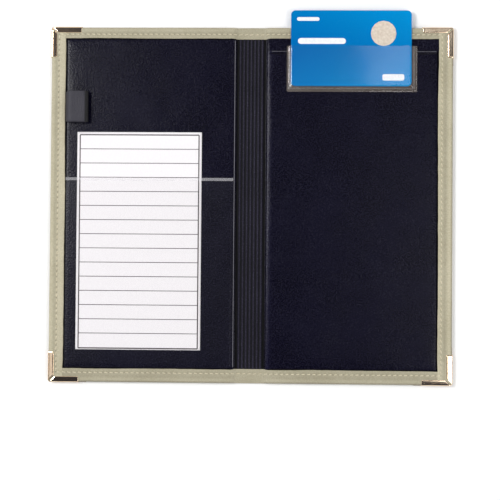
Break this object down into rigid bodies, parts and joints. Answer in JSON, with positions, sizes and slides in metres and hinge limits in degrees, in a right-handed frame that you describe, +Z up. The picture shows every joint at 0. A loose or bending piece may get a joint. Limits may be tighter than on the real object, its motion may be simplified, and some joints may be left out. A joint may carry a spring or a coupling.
{
  "type": "restaurant check presenter",
  "caption": "Open bill folder: two stiff covers on a soft ribbed spine, stitched edges, metal corners, clear check and card pockets, and a pen loop.",
  "frame": {"origin": "middle of the object's footprint, with the card that stands out of the top edge, on the surface that it lies on", "axes": "+X across the spine towards the back cover, +Y towards the top edge, +Z up out of the open lining"},
  "size_m": [0.287, 0.2658, 0.0095],
  "materials": {
    "cover_skin": "satin",
    "board": "matte",
    "lining": "satin",
    "metal": "polished",
    "stitching": "matte",
    "loop": "matte",
    "film": "gloss",
    "backing": "gloss",
    "card": "gloss",
    "paper": "matte"
  },
  "bodies": {
    "back_cover": {"back_cover_skin": "cover_skin", "back_board": "board", "back_lining": "lining", "back_pocket_panel": "lining", "back_stitching": "stitching", "back_top_corner": "metal", "back_bottom_corner": "metal", "card_pocket_backing": "backing", "card_pocket_film": "film"},
    "spine_link_7": {"spine_skin_7": "cover_skin", "spine_lining_7": "lining"},
    "spine_link_6": {"spine_skin_6": "cover_skin", "spine_lining_6": "lining"},
    "spine_link_5": {"spine_skin_5": "cover_skin", "spine_lining_5": "lining"},
    "spine_link_4": {"spine_skin_4": "cover_skin", "spine_lining_4": "lining"},
    "spine_link_3": {"spine_skin_3": "cover_skin", "spine_lining_3": "lining"},
    "spine_link_2": {"spine_skin_2": "cover_skin", "spine_lining_2": "lining"},
    "spine_link_1": {"spine_skin_1": "cover_skin", "spine_lining_1": "lining"},
    "front_cover": {"front_cover_skin": "cover_skin", "front_board": "board", "front_lining": "lining", "front_pocket_panel": "lining", "front_stitching": "stitching", "front_top_corner": "metal", "front_bottom_corner": "metal", "pen_loop": "loop", "check_pocket_film": "film"},
    "guest_check": {"guest_check": "paper"},
    "payment_card": {"payment_card": "card"}
  },
  "joints": [
    {"name": "spine_bend_8", "type": "hinge", "parent": "back_cover", "child": "spine_link_7", "pos_m": [0.0091, 0, 0.0008], "axis": [0, 1, 0], "range_deg": [0, 22.5]},
    {"name": "spine_bend_7", "type": "hinge", "parent": "spine_link_7", "child": "spine_link_6", "pos_m": [0.0065, 0, 0.0008], "axis": [0, 1, 0], "range_deg": [0, 22.5]},
    {"name": "spine_bend_6", "type": "hinge", "parent": "spine_link_6", "child": "spine_link_5", "pos_m": [0.0039, 0, 0.0008], "axis": [0, 1, 0], "range_deg": [0, 22.5]},
    {"name": "spine_bend_5", "type": "hinge", "parent": "spine_link_5", "child": "spine_link_4", "pos_m": [0.0013, 0, 0.0008], "axis": [0, 1, 0], "range_deg": [0, 22.5]},
    {"name": "spine_bend_4", "type": "hinge", "parent": "spine_link_4", "child": "spine_link_3", "pos_m": [-0.0013, 0, 0.0008], "axis": [0, 1, 0], "range_deg": [0, 22.5]},
    {"name": "spine_bend_3", "type": "hinge", "parent": "spine_link_3", "child": "spine_link_2", "pos_m": [-0.0039, 0, 0.0008], "axis": [0, 1, 0], "range_deg": [0, 22.5]},
    {"name": "spine_bend_2", "type": "hinge", "parent": "spine_link_2", "child": "spine_link_1", "pos_m": [-0.0065, 0, 0.0008], "axis": [0, 1, 0], "range_deg": [0, 22.5]},
    {"name": "spine_bend_1", "type": "hinge", "parent": "spine_link_1", "child": "front_cover", "pos_m": [-0.0091, 0, 0.0008], "axis": [0, 1, 0], "range_deg": [0, 22.5]},
    {"name": "check_slide", "type": "slide", "parent": "front_cover", "child": "guest_check", "axis": [0, 1, 0], "range_m": [-0.0105, 0.235]},
    {"name": "card_slide", "type": "slide", "parent": "back_cover", "child": "payment_card", "axis": [0, 1, 0], "range_m": [0, 0.045]}
  ]
}
